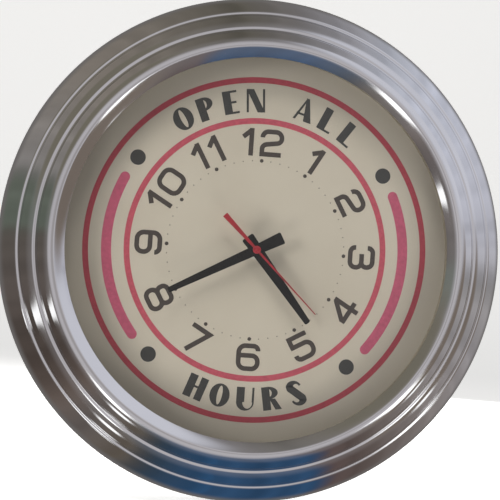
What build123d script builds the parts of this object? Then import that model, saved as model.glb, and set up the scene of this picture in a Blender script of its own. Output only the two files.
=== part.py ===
from build123d import *

import math
import os

# A round wall clock with a stepped chrome bezel and a quartz movement, in millimetres.
# The wall is the plane y = 0, the dial faces -Y, +Z is up, and the hands turn about x = z = 0.

# ---- driving dimensions -------------------------------------------------------------------

DIAMETER = 381.0  # across the bezel
SHEET = 1.0  # thickness of every pressed or spun sheet

# Depths: distances in front of the wall, so a plane lies at y = -depth.
BUMPER_DEPTH = 4.0
RIM_DEPTH = 46.0  # widest plane of the bezel
DIAL_DEPTH = 73.0  # painted face of the dial
DIAL_THICKNESS = 1.2
LIP_DEPTH = 87.2  # inner edge of the bezel's lip
CREST_DEPTH = 91.0  # foremost line of the bezel

CASE_RADIUS = 170.0
CASE_FLANGE = 20.0  # width of the case's front flange, under the dial's edge
BACK_FLANGE = 12.0  # width of the case's rear flange, under the back cover
DIAL_RADIUS = 165.0
LIP_RADIUS = 141.9
CREST_RADIUS = 150.0
GLASS_RADIUS = 147.0
GLASS_THICKNESS = 2.5
GLASS_BACK = 83.4
GASKET_WALL = 0.5
ACCESS_RADIUS = 45.0

DIAL_SCREW_CIRCLE = 157.0
COVER_SCREW_CIRCLE = 163.5
BUMPER_CIRCLE = 145.0
BUMPER_RADIUS = 9.0
SCREW_RADIUS = 1.5
SCREW_CLEARANCE = 0.1
SCREW_HEAD_RADIUS = 3.0
SCREW_HEAD_HEIGHT = 1.8
SCREW_HEAD_ROUNDING = 1.0
RECESS_LENGTH = 3.0  # the cross in a screw's head
RECESS_WIDTH = 0.6
RECESS_DEPTH = 1.0
SCREW_LENGTH = 6.0
SCREW_COUNT = 6

KEYHOLE_HEIGHT = 118.0  # round entry's centre above the hands' axis
KEYHOLE_RADIUS = 5.5
KEYHOLE_SLOT_RADIUS = 2.6
KEYHOLE_TRAVEL = 13.0
HANGER_WIDTH = 60.0
HANGER_LENGTH = 48.0
HANGER_THICKNESS = 1.5

# The hands stand at 4:40:22, as angles clockwise from twelve.
HOUR_ANGLE = 140.7
MINUTE_ANGLE = 241.5
SECOND_ANGLE = 133.7

# Movement: a square box behind the dial, with its shafts in the middle.
BOX_HALF = 28.0
BOX_WALL = 1.2
BOX_FRONT = 70.8
BOX_BACK = 55.0
BOX_INSIDE = BOX_FRONT - BOX_WALL
BUSH_RADIUS = 4.0
BUSH_BORE = 2.6
BUSH_END = 76.6
HOUR_TUBE_RADIUS = 2.5
HOUR_TUBE_BORE = 1.7
MINUTE_TUBE_RADIUS = 1.6
MINUTE_TUBE_BORE = 0.6
SECOND_ARBOR_RADIUS = 0.5
ARBOR_RADIUS = 0.4
RUNNING_GAP = 0.05

# Depths of the back of each wheel layer, from the dial side to the wall side.
LAYER_THICKNESS = 0.6
HOUR_LAYER = 68.7
MINUTE_LAYER = 67.5
CENTRE_LAYER = 66.3
PLATE_FRONT = 65.9
PLATE_BACK = 65.1
THIRD_LAYER = 64.1
SECOND_LAYER = 63.1
ROTOR_LAYER = 62.1
MAGNET_FRONT = 61.5
MAGNET_BACK = 58.7
REAR_PIVOT = 55.8
FRONT_PIVOT = 70.2

# Tooth counts and modules of each meshing pair.
ADDENDUM = 0.65
DEDENDUM = 1.1
ROTOR_PINION, INTERMEDIATE_WHEEL, ROTOR_MODULE = 10, 50, 0.25
INTERMEDIATE_PINION, SECOND_WHEEL, SECOND_MODULE = 10, 60, 0.30
SECOND_PINION, THIRD_WHEEL, THIRD_MODULE = 8, 60, 0.35
THIRD_PINION, CENTRE_WHEEL = 8, 64
CENTRE_MODULE = THIRD_MODULE * (SECOND_PINION + THIRD_WHEEL) / (THIRD_PINION + CENTRE_WHEEL)
MINUTE_PINION, MINUTE_WHEEL, MINUTE_MODULE = 12, 36, 0.50
MINUTE_WHEEL_PINION, HOUR_WHEEL = 10, 40
HOUR_MODULE = MINUTE_MODULE * (MINUTE_PINION + MINUTE_WHEEL) / (MINUTE_WHEEL_PINION + HOUR_WHEEL)
KNOB_PINION = 12

BATTERY_RADIUS = 7.05
BATTERY_LENGTH = 48.5
BATTERY_Z = -19.6
BATTERY_DEPTH = 62.1

os.makedirs("parts", exist_ok=True)


# ---- helpers ------------------------------------------------------------------------------


def rod(radius, back, front, x=0.0, z=0.0):
    """A cylinder along Y between two depths."""
    return Pos(x, -(back + front) / 2, z) * Rot(90, 0, 0) * Cylinder(radius, front - back)


def tube(outer, inner, back, front, x=0.0, z=0.0):
    return rod(outer, back, front, x, z) - rod(inner, back - 1, front + 1, x, z)


def block(x_low, x_high, back, front, z_low, z_high):
    centre = Pos((x_low + x_high) / 2, -(back + front) / 2, (z_low + z_high) / 2)
    return centre * Box(x_high - x_low, front - back, z_high - z_low)


def prism(outline, back, front):
    """Stands a flat outline, drawn in x and z, between two depths."""
    return extrude(Plane.XZ.offset(back) * outline, amount=front - back)


def outline_face(points):
    return make_face(Polyline(*points, close=True))


def polar(radius, degrees):
    """A point at an angle clockwise from twelve, seen from the front."""
    angle = math.radians(degrees)
    return radius * math.sin(angle), radius * math.cos(angle)


def around(count, radius, start=0.0):
    return [polar(radius, start + 360 / count * k) for k in range(count)]


def union(pieces):
    whole = pieces[0]
    for piece in pieces[1:]:
        whole = whole + piece
    return whole


def screw():
    """A cross-head screw along +Z, with its head's underside at the origin."""
    head = Pos(0, 0, SCREW_HEAD_HEIGHT / 2) * Cylinder(SCREW_HEAD_RADIUS, SCREW_HEAD_HEIGHT)
    head = fillet(head.edges().filter_by(GeomType.CIRCLE).sort_by(Axis.Z)[-1], SCREW_HEAD_ROUNDING)
    shank = Pos(0, 0, -SCREW_LENGTH / 2) * Cylinder(SCREW_RADIUS, SCREW_LENGTH)
    slots = [Rot(0, 0, turn) * Box(RECESS_LENGTH, RECESS_WIDTH, 2 * RECESS_DEPTH) for turn in (0, 90)]
    return head + shank - Pos(0, 0, SCREW_HEAD_HEIGHT) * union(slots)


def save(name, solids):
    """Writes one node: a single solid, or a group of separate ones."""
    shapes = solids if isinstance(solids, list) else [solids]
    found = [s for shape in shapes for s in shape.solids()]
    export_step(found[0] if len(found) == 1 else Compound(children=found), f"parts/{name}.step")


# ---- bezel and its fixing -----------------------------------------------------------------

# The bezel's outer line from its rear hem to its inner edge: radius, depth, and how far the
# stretch that leads to this point bulges outwards.
BEZEL_LINE = [
    (DIAMETER / 2 - 4.5, RIM_DEPTH - 3.0, 0.0),
    (DIAMETER / 2 - 1.1, RIM_DEPTH - 3.0, 0.0),
    (DIAMETER / 2, RIM_DEPTH - 1.8, 0.3),
    (DIAMETER / 2, RIM_DEPTH, 0.0),
    (177.8, 72.0, 2.6),
    (175.2, 72.2, 0.0),
    (165.4, 81.1, 1.5),
    (162.7, 81.3, 0.0),
    (155.6, 90.2, 1.3),
    (CREST_RADIUS, CREST_DEPTH, 0.25),
    (LIP_RADIUS, LIP_DEPTH, 0.3),
]


def outward(start, end):
    """Unit normal of a stretch, pointing out of the metal's outer side."""
    run_r, run_y = end[0] - start[0], end[1] - start[1]
    length = math.hypot(run_r, run_y)
    return -run_y / length, run_r / length


def bulged(start, end, bulge):
    if bulge == 0:
        return Line(start, end)
    normal = outward(start, end)
    middle = [(start[k] + end[k]) / 2 + bulge * normal[k] for k in (0, 1)]
    return ThreePointArc(start, tuple(middle), end)


def spun_section(line, thickness):
    """Section of a sheet of even thickness whose outer side follows the line."""
    outer = [(radius, -depth) for radius, depth, _ in line]
    bulges = [bulge for _, _, bulge in line[1:]]
    normals = [outward(a, b) for a, b in zip(outer, outer[1:])]
    inner = []
    for k, point in enumerate(outer):
        before, after = normals[max(k - 1, 0)], normals[min(k, len(normals) - 1)]
        mean = (before[0] + after[0], before[1] + after[1])
        reach = 2 * thickness / (mean[0] ** 2 + mean[1] ** 2)
        inner.append((point[0] - mean[0] * reach, point[1] - mean[1] * reach))
    edges = [bulged(a, b, s) for a, b, s in zip(outer, outer[1:], bulges)]
    edges += [bulged(a, b, s) for a, b, s in zip(inner, inner[1:], bulges)]
    edges += [Line(outer[0], inner[0]), Line(outer[-1], inner[-1])]
    return make_face(Wire(edges))


def make_bezel():
    return revolve(spun_section(BEZEL_LINE, SHEET), axis=Axis.Y)


RING_BACK = RIM_DEPTH - 2.0  # rear face of the ring that closes the bezel's back
COLLAR_LENGTH = 10.0
COLLAR_SCREW_DEPTH = RING_BACK - COLLAR_LENGTH / 2
COLLAR_INNER = CASE_RADIUS + SCREW_CLEARANCE
COLLAR_OUTER = COLLAR_INNER + SHEET
COLLAR_SCREW_START = 30.0


def radial_rods(radius, inner, outer):
    """Rods that point at the hands' axis, all round the case's wall."""
    rods = []
    for k in range(SCREW_COUNT):
        angle = COLLAR_SCREW_START + 360 / SCREW_COUNT * k
        x, z = polar((inner + outer) / 2, angle)
        rods.append(Pos(x, -COLLAR_SCREW_DEPTH, z) * Rot(0, angle, 0) * Cylinder(radius, outer - inner))
    return rods


def make_mounting_ring():
    face = tube(DIAMETER / 2 - 1.2, COLLAR_INNER, RING_BACK, RING_BACK + SHEET)
    collar = tube(COLLAR_OUTER, COLLAR_INNER, RING_BACK - COLLAR_LENGTH, RING_BACK)
    ring = face + collar
    for hole in radial_rods(SCREW_RADIUS + SCREW_CLEARANCE, CASE_RADIUS - 5, COLLAR_OUTER + 5):
        ring -= hole
    return ring


def make_mounting_ring_screws():
    screws = []
    for k in range(SCREW_COUNT):
        angle = COLLAR_SCREW_START + 360 / SCREW_COUNT * k
        x, z = polar(COLLAR_OUTER, angle)
        screws.append(Pos(x, -COLLAR_SCREW_DEPTH, z) * Rot(0, angle, 0) * screw())
    return screws


# ---- glass, dial and the ring between them --------------------------------------------------


GASKET_OUTER = GLASS_RADIUS + 1.2
GASKET_INNER = LIP_RADIUS + 1.3
SPACER_OUTER = GLASS_RADIUS - 0.4
SPACER_INNER = LIP_RADIUS + 1.7


def make_crystal():
    return rod(GLASS_RADIUS, GLASS_BACK, GLASS_BACK + GLASS_THICKNESS)


def make_crystal_gasket():
    back, front = GLASS_BACK - GASKET_WALL, GLASS_BACK + GLASS_THICKNESS + GASKET_WALL
    channel = tube(GASKET_OUTER, GASKET_INNER, back, front)
    return channel - rod(GLASS_RADIUS, GLASS_BACK, GLASS_BACK + GLASS_THICKNESS)


def make_dial_spacer_ring():
    return tube(SPACER_OUTER, SPACER_INNER, DIAL_DEPTH, GLASS_BACK - GASKET_WALL)


def pan_screws(circle, depth, facing, start):
    """A circle of screws with their heads on a plane, facing the front (1) or the wall (-1)."""
    turn = Rot(90 * facing, 0, 0)
    return [Pos(x, -depth, z) * turn * screw() for x, z in around(SCREW_COUNT, circle, start)]


def screw_holes(shape, circle, back, front, start):
    for x, z in around(SCREW_COUNT, circle, start):
        shape -= rod(SCREW_RADIUS + SCREW_CLEARANCE, back - 1, front + 1, x, z)
    return shape


DIAL_BACK = DIAL_DEPTH - DIAL_THICKNESS
DIAL_SCREW_START = 0.0
COVER_SCREW_START = 30.0


def make_dial_plate():
    plate = tube(DIAL_RADIUS, BUSH_RADIUS + SCREW_CLEARANCE, DIAL_BACK, DIAL_DEPTH)
    return screw_holes(plate, DIAL_SCREW_CIRCLE, DIAL_BACK, DIAL_DEPTH, DIAL_SCREW_START)


# ---- case -----------------------------------------------------------------------------------

COVER_FACE = BUMPER_DEPTH  # the cover's outer face
CASE_BACK = COVER_FACE + SHEET
FLANGE_COLLAR = 6.0  # each flange's short collar, spot-welded inside the wall
WALL_INNER = CASE_RADIUS - SHEET


def make_case_wall():
    wall = tube(CASE_RADIUS, WALL_INNER, CASE_BACK, DIAL_BACK)
    for hole in radial_rods(SCREW_RADIUS + SCREW_CLEARANCE, CASE_RADIUS - 5, CASE_RADIUS + 5):
        wall -= hole
    return wall


def make_dial_flange():
    face = tube(WALL_INNER, CASE_RADIUS - CASE_FLANGE, DIAL_BACK - SHEET, DIAL_BACK)
    collar = tube(WALL_INNER, WALL_INNER - SHEET, DIAL_BACK - FLANGE_COLLAR, DIAL_BACK)
    return screw_holes(face + collar, DIAL_SCREW_CIRCLE, DIAL_BACK - SHEET, DIAL_BACK, DIAL_SCREW_START)


def make_rear_flange():
    face = tube(WALL_INNER, CASE_RADIUS - BACK_FLANGE, CASE_BACK, CASE_BACK + SHEET)
    collar = tube(WALL_INNER, WALL_INNER - SHEET, CASE_BACK, CASE_BACK + FLANGE_COLLAR)
    flange = face + collar
    return screw_holes(flange, COVER_SCREW_CIRCLE, CASE_BACK, CASE_BACK + SHEET, COVER_SCREW_START)


def keyhole(entry_radius, slot_radius, back, front):
    """A round entry for the wall screw's head, with a slot above it for the shank."""
    entry = rod(entry_radius, back, front, 0, KEYHOLE_HEIGHT)
    top = KEYHOLE_HEIGHT + KEYHOLE_TRAVEL
    slot = block(-slot_radius, slot_radius, back, front, KEYHOLE_HEIGHT, top)
    return entry + slot + rod(slot_radius, back, front, 0, top)


HANGER_BOTTOM = 103.0
HANGER_WINDOW = 9.0  # half width of the cover's opening over the hanger plate's keyhole
RIVET_RADIUS = 1.6
RIVET_HEAD_RADIUS = 2.8
RIVET_HEAD_HEIGHT = 0.9
RIVET_X = 23.0
HANGER_CORNER = 4.0
RIVET_HEIGHTS = (HANGER_BOTTOM + 8.0, HANGER_BOTTOM + HANGER_LENGTH - 8.0)


def rivet_places():
    return [(side * RIVET_X, z) for side in (-1, 1) for z in RIVET_HEIGHTS]


def make_back_cover():
    cover = tube(CASE_RADIUS - 0.5, ACCESS_RADIUS, COVER_FACE, CASE_BACK)
    cover = screw_holes(cover, COVER_SCREW_CIRCLE, COVER_FACE, CASE_BACK, COVER_SCREW_START)
    for x, z in rivet_places():
        cover -= rod(RIVET_RADIUS, COVER_FACE - 1, CASE_BACK + 1, x, z)
    return cover - keyhole(HANGER_WINDOW, HANGER_WINDOW, COVER_FACE - 1, CASE_BACK + 1)


def make_hanger_plate():
    front = CASE_BACK + HANGER_THICKNESS
    half = HANGER_WIDTH / 2
    plate = block(-half, half, CASE_BACK, front, HANGER_BOTTOM, HANGER_BOTTOM + HANGER_LENGTH)
    plate = fillet(plate.edges().filter_by(Axis.Y), HANGER_CORNER)
    for x, z in rivet_places():
        plate -= rod(RIVET_RADIUS, CASE_BACK - 1, front + 1, x, z)
    return plate - keyhole(KEYHOLE_RADIUS, KEYHOLE_SLOT_RADIUS, CASE_BACK - 1, front + 1)


def make_hanger_rivets():
    front = CASE_BACK + HANGER_THICKNESS
    rivets = []
    for x, z in rivet_places():
        shank = rod(RIVET_RADIUS, COVER_FACE, front, x, z)
        outside = rod(RIVET_HEAD_RADIUS, COVER_FACE - RIVET_HEAD_HEIGHT, COVER_FACE, x, z)
        inside = rod(RIVET_HEAD_RADIUS, front, front + RIVET_HEAD_HEIGHT, x, z)
        rivets.append(shank + outside + inside)
    return rivets


def make_wall_bumpers():
    return [rod(BUMPER_RADIUS, 0.0, BUMPER_DEPTH, x, z) for x, z in around(4, BUMPER_CIRCLE, 45)]


# ---- toothed wheels ---------------------------------------------------------------------------

# Wheel centres in x and z. Each direction is clockwise from twelve.
TRAIN_DISTANCE = THIRD_MODULE * (SECOND_PINION + THIRD_WHEEL) / 2
HANDS_DISTANCE = MINUTE_MODULE * (MINUTE_PINION + MINUTE_WHEEL) / 2
INTERMEDIATE_DISTANCE = SECOND_MODULE * (INTERMEDIATE_PINION + SECOND_WHEEL) / 2
ROTOR_DISTANCE = ROTOR_MODULE * (ROTOR_PINION + INTERMEDIATE_WHEEL) / 2
KNOB_DISTANCE = MINUTE_MODULE * (KNOB_PINION + MINUTE_WHEEL) / 2
THIRD_DIRECTION = 290.0
MINUTE_DIRECTION = 0.0
INTERMEDIATE_DIRECTION = 105.0
ROTOR_DIRECTION = 70.0  # from the intermediate wheel
KNOB_DIRECTION = 70.0  # from the minute wheel

AXIS = (0.0, 0.0)
THIRD_AT = polar(TRAIN_DISTANCE, THIRD_DIRECTION)
MINUTE_AT = polar(HANDS_DISTANCE, MINUTE_DIRECTION)
INTERMEDIATE_AT = polar(INTERMEDIATE_DISTANCE, INTERMEDIATE_DIRECTION)


def stepped(start, distance, direction):
    step = polar(distance, direction)
    return start[0] + step[0], start[1] + step[1]


ROTOR_AT = stepped(INTERMEDIATE_AT, ROTOR_DISTANCE, ROTOR_DIRECTION)
KNOB_AT = stepped(MINUTE_AT, KNOB_DISTANCE, KNOB_DIRECTION)


def toothed(teeth, module, layer, centre, tooth_at):
    """A toothed disc one layer thick, with the middle of a tooth at the given direction."""
    root = module * (teeth / 2 - DEDENDUM)
    pitch_radius = module * teeth / 2
    tip = module * (teeth / 2 + ADDENDUM)
    pitch = 360 / teeth
    # Share of the pitch that half a tooth takes at each radius.
    flank = [(0.29, root), (0.2, pitch_radius), (0.09, tip)]
    shape = [(-share, radius) for share, radius in flank] + flank[::-1]
    points = []
    for k in range(teeth):
        for share, radius in shape:
            x, z = polar(radius, tooth_at + pitch * (k + share))
            points.append((x + centre[0], z + centre[1]))
    return prism(outline_face(points), layer, layer + LAYER_THICKNESS)


def mating_tooth(teeth, driver_teeth, direction, driver_tooth_at):
    """Direction of a tooth on a wheel that meshes with a driver lying the opposite way."""
    driver_share = (direction - driver_tooth_at) / (360 / driver_teeth)
    return direction + 180 - (0.5 - driver_share) * 360 / teeth


MAGNET_RADIUS = 2.5
INTERMEDIATE_HUB_RADIUS = 0.9
SECOND_WHEEL_HUB_RADIUS = 1.0
MINUTE_WHEEL_HUB_RADIUS = 1.2


def arbor(back, front, centre, radius=ARBOR_RADIUS):
    return rod(radius, back, front, *centre)


def make_rotor():
    pinion = toothed(
        ROTOR_PINION,
        ROTOR_MODULE,
        ROTOR_LAYER,
        ROTOR_AT,
        mating_tooth(ROTOR_PINION, INTERMEDIATE_WHEEL, ROTOR_DIRECTION, ROTOR_DIRECTION),
    )
    magnet = rod(MAGNET_RADIUS, MAGNET_BACK, MAGNET_FRONT, *ROTOR_AT)
    return union([arbor(REAR_PIVOT, PLATE_FRONT, ROTOR_AT), pinion, magnet])


def make_intermediate_wheel():
    wheel = toothed(INTERMEDIATE_WHEEL, ROTOR_MODULE, ROTOR_LAYER, INTERMEDIATE_AT, ROTOR_DIRECTION)
    pinion = toothed(
        INTERMEDIATE_PINION,
        SECOND_MODULE,
        SECOND_LAYER,
        INTERMEDIATE_AT,
        mating_tooth(INTERMEDIATE_PINION, SECOND_WHEEL, INTERMEDIATE_DIRECTION, INTERMEDIATE_DIRECTION),
    )
    hub = rod(INTERMEDIATE_HUB_RADIUS, ROTOR_LAYER, SECOND_LAYER, *INTERMEDIATE_AT)
    return union([arbor(REAR_PIVOT, PLATE_FRONT, INTERMEDIATE_AT), wheel, hub, pinion])


SECOND_HUB_FRONT = 82.2


def make_second_wheel():
    wheel = toothed(SECOND_WHEEL, SECOND_MODULE, SECOND_LAYER, AXIS, INTERMEDIATE_DIRECTION)
    pinion = toothed(SECOND_PINION, THIRD_MODULE, THIRD_LAYER, AXIS, THIRD_DIRECTION)
    hub = rod(SECOND_WHEEL_HUB_RADIUS, SECOND_LAYER, THIRD_LAYER + LAYER_THICKNESS, *AXIS)
    shaft = arbor(REAR_PIVOT, SECOND_HUB_FRONT - 0.3, AXIS, SECOND_ARBOR_RADIUS)
    return union([shaft, wheel, hub, pinion])


def make_third_wheel():
    wheel_tooth = mating_tooth(THIRD_WHEEL, SECOND_PINION, THIRD_DIRECTION, THIRD_DIRECTION)
    wheel = toothed(THIRD_WHEEL, THIRD_MODULE, THIRD_LAYER, THIRD_AT, wheel_tooth)
    pinion = toothed(THIRD_PINION, CENTRE_MODULE, CENTRE_LAYER, THIRD_AT, THIRD_DIRECTION + 180)
    return union([arbor(REAR_PIVOT, FRONT_PIVOT, THIRD_AT), wheel, pinion])


def make_centre_wheel():
    tooth = mating_tooth(CENTRE_WHEEL, THIRD_PINION, THIRD_DIRECTION + 180, THIRD_DIRECTION + 180)
    wheel = toothed(CENTRE_WHEEL, CENTRE_MODULE, CENTRE_LAYER, AXIS, tooth)
    return wheel - rod(MINUTE_TUBE_RADIUS + RUNNING_GAP, CENTRE_LAYER - 1, CENTRE_LAYER + 2)


MINUTE_TUBE_FRONT = 80.4
HOUR_TUBE_FRONT = 78.7


def make_minute_pinion():
    pinion = toothed(MINUTE_PINION, MINUTE_MODULE, MINUTE_LAYER, AXIS, MINUTE_DIRECTION)
    body = pinion + rod(MINUTE_TUBE_RADIUS, CENTRE_LAYER, MINUTE_TUBE_FRONT)
    return body - rod(MINUTE_TUBE_BORE, CENTRE_LAYER - 1, MINUTE_TUBE_FRONT + 1)


MINUTE_WHEEL_TOOTH = mating_tooth(MINUTE_WHEEL, MINUTE_PINION, MINUTE_DIRECTION, MINUTE_DIRECTION)


def make_minute_wheel():
    wheel = toothed(MINUTE_WHEEL, MINUTE_MODULE, MINUTE_LAYER, MINUTE_AT, MINUTE_WHEEL_TOOTH)
    pinion = toothed(MINUTE_WHEEL_PINION, HOUR_MODULE, HOUR_LAYER, MINUTE_AT, MINUTE_DIRECTION + 180)
    hub = rod(MINUTE_WHEEL_HUB_RADIUS, MINUTE_LAYER, HOUR_LAYER + LAYER_THICKNESS, *MINUTE_AT)
    return union([arbor(PLATE_BACK, FRONT_PIVOT, MINUTE_AT, SECOND_ARBOR_RADIUS), wheel, hub, pinion])


def make_hour_wheel():
    tooth = mating_tooth(HOUR_WHEEL, MINUTE_WHEEL_PINION, MINUTE_DIRECTION + 180, MINUTE_DIRECTION + 180)
    wheel = toothed(HOUR_WHEEL, HOUR_MODULE, HOUR_LAYER, AXIS, tooth)
    body = wheel + rod(HOUR_TUBE_RADIUS, HOUR_LAYER, HOUR_TUBE_FRONT)
    return body - rod(HOUR_TUBE_BORE, HOUR_LAYER - 1, HOUR_TUBE_FRONT + 1)


KNOB_SHAFT_RADIUS = 1.5
KNOB_RADIUS = 6.0
COVER_OUTER = BOX_BACK - BOX_WALL
KNOB_FRONT = COVER_OUTER - 0.4
KNOB_BACK = KNOB_FRONT - 3.0
KNOB_FLUTES = 16
KNOB_FLUTE_RADIUS = 0.6


def make_setting_knob():
    tooth = mating_tooth(KNOB_PINION, MINUTE_WHEEL, KNOB_DIRECTION, MINUTE_WHEEL_TOOTH)
    pinion = toothed(KNOB_PINION, MINUTE_MODULE, MINUTE_LAYER, KNOB_AT, tooth)
    pivot = arbor(MINUTE_LAYER, FRONT_PIVOT, KNOB_AT, SECOND_ARBOR_RADIUS)
    shaft = rod(KNOB_SHAFT_RADIUS, KNOB_BACK, MINUTE_LAYER, *KNOB_AT)
    head = rod(KNOB_RADIUS, KNOB_BACK, KNOB_FRONT, *KNOB_AT)
    for x, z in around(KNOB_FLUTES, KNOB_RADIUS):
        flute_at = (KNOB_AT[0] + x, KNOB_AT[1] + z)
        head -= rod(KNOB_FLUTE_RADIUS, KNOB_BACK - 1, KNOB_FRONT + 1, *flute_at)
    return union([pinion, pivot, shaft, head])


# ---- movement housing --------------------------------------------------------------------------

PILLARS = [(-20.0, -8.5), (18.5, -8.5), (-20.0, 12.0), (19.0, 11.5)]
BAY_TOP = -11.5
BAY_WALL = 0.8
BOARD_BACK = 57.6
BOARD_POSTS = [(-24.0, 11.0), (-6.0, 24.0)]
BOSS_FRONT = 58.0
BOSS_RADIUS = 1.5
POST_RADIUS = 1.2
PILLAR_RADIUS = 1.5
PILLAR_PIN_RADIUS = 0.8
BOX_CORNER = 3.0
MIDDLE_PLATE = (-22.0, 21.0, -10.6, 14.0)  # lowest and highest x, lowest and highest z


def rounded_box(back, front, half, corner):
    return prism(RectangleRounded(2 * half, 2 * half, corner), back, front)


def make_movement_front_housing():
    shell = rounded_box(BOX_BACK, BOX_FRONT, BOX_HALF, BOX_CORNER)
    inside = BOX_HALF - BOX_WALL
    shell -= rounded_box(BOX_BACK - 1, BOX_INSIDE, inside, BOX_CORNER - BOX_WALL)
    pieces = [shell, block(-inside, inside, BOX_BACK, BOX_INSIDE, BAY_TOP - BAY_WALL, BAY_TOP)]
    for x, z in PILLARS:
        pieces.append(rod(PILLAR_RADIUS, PLATE_FRONT, BOX_INSIDE, x, z))
        pieces.append(rod(PILLAR_PIN_RADIUS, PLATE_BACK - 0.3, PLATE_FRONT, x, z))
    housing = union(pieces)
    housing -= rod(BUSH_RADIUS, BOX_INSIDE - 1, BOX_FRONT + 1)
    pivots = [(THIRD_AT, ARBOR_RADIUS), (MINUTE_AT, SECOND_ARBOR_RADIUS), (KNOB_AT, SECOND_ARBOR_RADIUS)]
    for centre, radius in pivots:
        housing -= rod(radius + RUNNING_GAP, BOX_INSIDE - 1, FRONT_PIVOT + 0.2, *centre)
    return housing


def make_threaded_bush():
    return tube(BUSH_RADIUS, BUSH_BORE, BOX_INSIDE, BUSH_END)


def make_movement_rear_cover():
    low, high = BAY_TOP - BAY_WALL, BOX_HALF
    cover = block(-BOX_HALF, BOX_HALF, COVER_OUTER, BOX_BACK, low, high)
    pieces = [cover]
    for x, z in (AXIS, THIRD_AT, INTERMEDIATE_AT, ROTOR_AT):
        pieces.append(rod(BOSS_RADIUS, BOX_BACK, BOSS_FRONT, x, z))
    for x, z in BOARD_POSTS:
        pieces.append(rod(POST_RADIUS, BOX_BACK, BOARD_BACK, x, z))
    whole = union(pieces)
    whole -= rod(SECOND_ARBOR_RADIUS + RUNNING_GAP, REAR_PIVOT - 0.3, BOSS_FRONT + 1)
    for centre in (THIRD_AT, INTERMEDIATE_AT, ROTOR_AT):
        whole -= rod(ARBOR_RADIUS + RUNNING_GAP, REAR_PIVOT - 0.3, BOSS_FRONT + 1, *centre)
    return whole - rod(KNOB_SHAFT_RADIUS + 0.1, COVER_OUTER - 1, BOX_BACK + 1, *KNOB_AT)


def make_middle_plate():
    x_low, x_high, z_low, z_high = MIDDLE_PLATE
    plate = block(x_low, x_high, PLATE_BACK, PLATE_FRONT, z_low, z_high)
    holes = [
        (AXIS, SECOND_ARBOR_RADIUS + 0.5),
        (THIRD_AT, ARBOR_RADIUS + 0.4),
        (INTERMEDIATE_AT, ARBOR_RADIUS + RUNNING_GAP),
        (ROTOR_AT, ARBOR_RADIUS + RUNNING_GAP),
        (MINUTE_AT, SECOND_ARBOR_RADIUS + RUNNING_GAP),
    ]
    holes += [(place, PILLAR_PIN_RADIUS) for place in PILLARS]
    for centre, radius in holes:
        plate -= rod(radius, PLATE_BACK - 1, PLATE_FRONT + 1, *centre)
    return plate


# ---- electrical pieces --------------------------------------------------------------------------

STATOR_BACK, STATOR_FRONT = 59.4, 60.8
COIL_X = 22.5
COIL_LOW, COIL_HIGH = 5.5, 22.5
COIL_RADIUS = 3.3
COIL_WALL = 0.8
CORE_HALF = 1.2
CORE_CLEARANCE = 0.1
# The stator's loop: the poles round the rotor, the two legs, and the yoke that joins them. Each
# is its lowest and highest x, and its lowest and highest z.
STATOR_PARTS = [
    (13.0, 26.0, -4.2, 4.2),
    (14.0, 17.5, 4.2, 26.0),
    (14.0, 26.0, 23.5, 26.0),
    (COIL_X - CORE_HALF, COIL_X + CORE_HALF, 4.2, 23.5),
]
ROTOR_HOLE = 3.0

BOARD_THICKNESS = 1.0
BOARD = (-26.2, -3.0, 9.0, 26.0)  # lowest and highest x, lowest and highest z
CHIP = (-17.0, -11.0, 16.0, 22.0)
CHIP_HEIGHT = 1.0
CAN_AT = (-14.0, 12.5)
CAN_RADIUS, CAN_LENGTH = 1.0, 6.0

BATTERY_X = -0.3
NUB_RADIUS, NUB_LENGTH = 2.7, 1.0
CONTACT_HALF = 5.0
CONTACT_THICKNESS = 0.4
SPRING_RADIUS = 3.0


def make_stator():
    pieces = [
        block(x_low, x_high, STATOR_BACK, STATOR_FRONT, z_low, z_high)
        for x_low, x_high, z_low, z_high in STATOR_PARTS
    ]
    return union(pieces) - rod(ROTOR_HOLE, STATOR_BACK - 1, STATOR_FRONT + 1, *ROTOR_AT)


def make_coil():
    middle = (STATOR_BACK + STATOR_FRONT) / 2
    low, high = STATOR_BACK - CORE_CLEARANCE, STATOR_FRONT + CORE_CLEARANCE
    half = CORE_HALF + CORE_CLEARANCE
    centre = Pos(COIL_X, -middle, (COIL_LOW + COIL_HIGH) / 2)
    length = COIL_HIGH - COIL_LOW
    flange = Cylinder(COIL_RADIUS, COIL_WALL)
    winding = Cylinder(COIL_RADIUS - 0.5, length)
    ends = [Pos(0, 0, side * (length - COIL_WALL) / 2) * flange for side in (-1, 1)]
    whole = centre * union([winding, *ends])
    return whole - block(COIL_X - half, COIL_X + half, low, high, COIL_LOW - 1, COIL_HIGH + 1)


def make_circuit_board():
    x_low, x_high, z_low, z_high = BOARD
    return block(x_low, x_high, BOARD_BACK, BOARD_BACK + BOARD_THICKNESS, z_low, z_high)


def make_chip():
    x_low, x_high, z_low, z_high = CHIP
    back = BOARD_BACK + BOARD_THICKNESS
    return block(x_low, x_high, back, back + CHIP_HEIGHT, z_low, z_high)


def make_quartz_crystal():
    depth = BOARD_BACK + BOARD_THICKNESS + CAN_RADIUS
    return Pos(CAN_AT[0], -depth, CAN_AT[1]) * Rot(0, 90, 0) * Cylinder(CAN_RADIUS, CAN_LENGTH)


def make_battery():
    can = Cylinder(BATTERY_RADIUS, BATTERY_LENGTH)
    nub = Pos(0, 0, (BATTERY_LENGTH + NUB_LENGTH) / 2) * Cylinder(NUB_RADIUS, NUB_LENGTH)
    return Pos(BATTERY_X, -BATTERY_DEPTH, BATTERY_Z) * Rot(0, 90, 0) * (can + nub)


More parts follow.
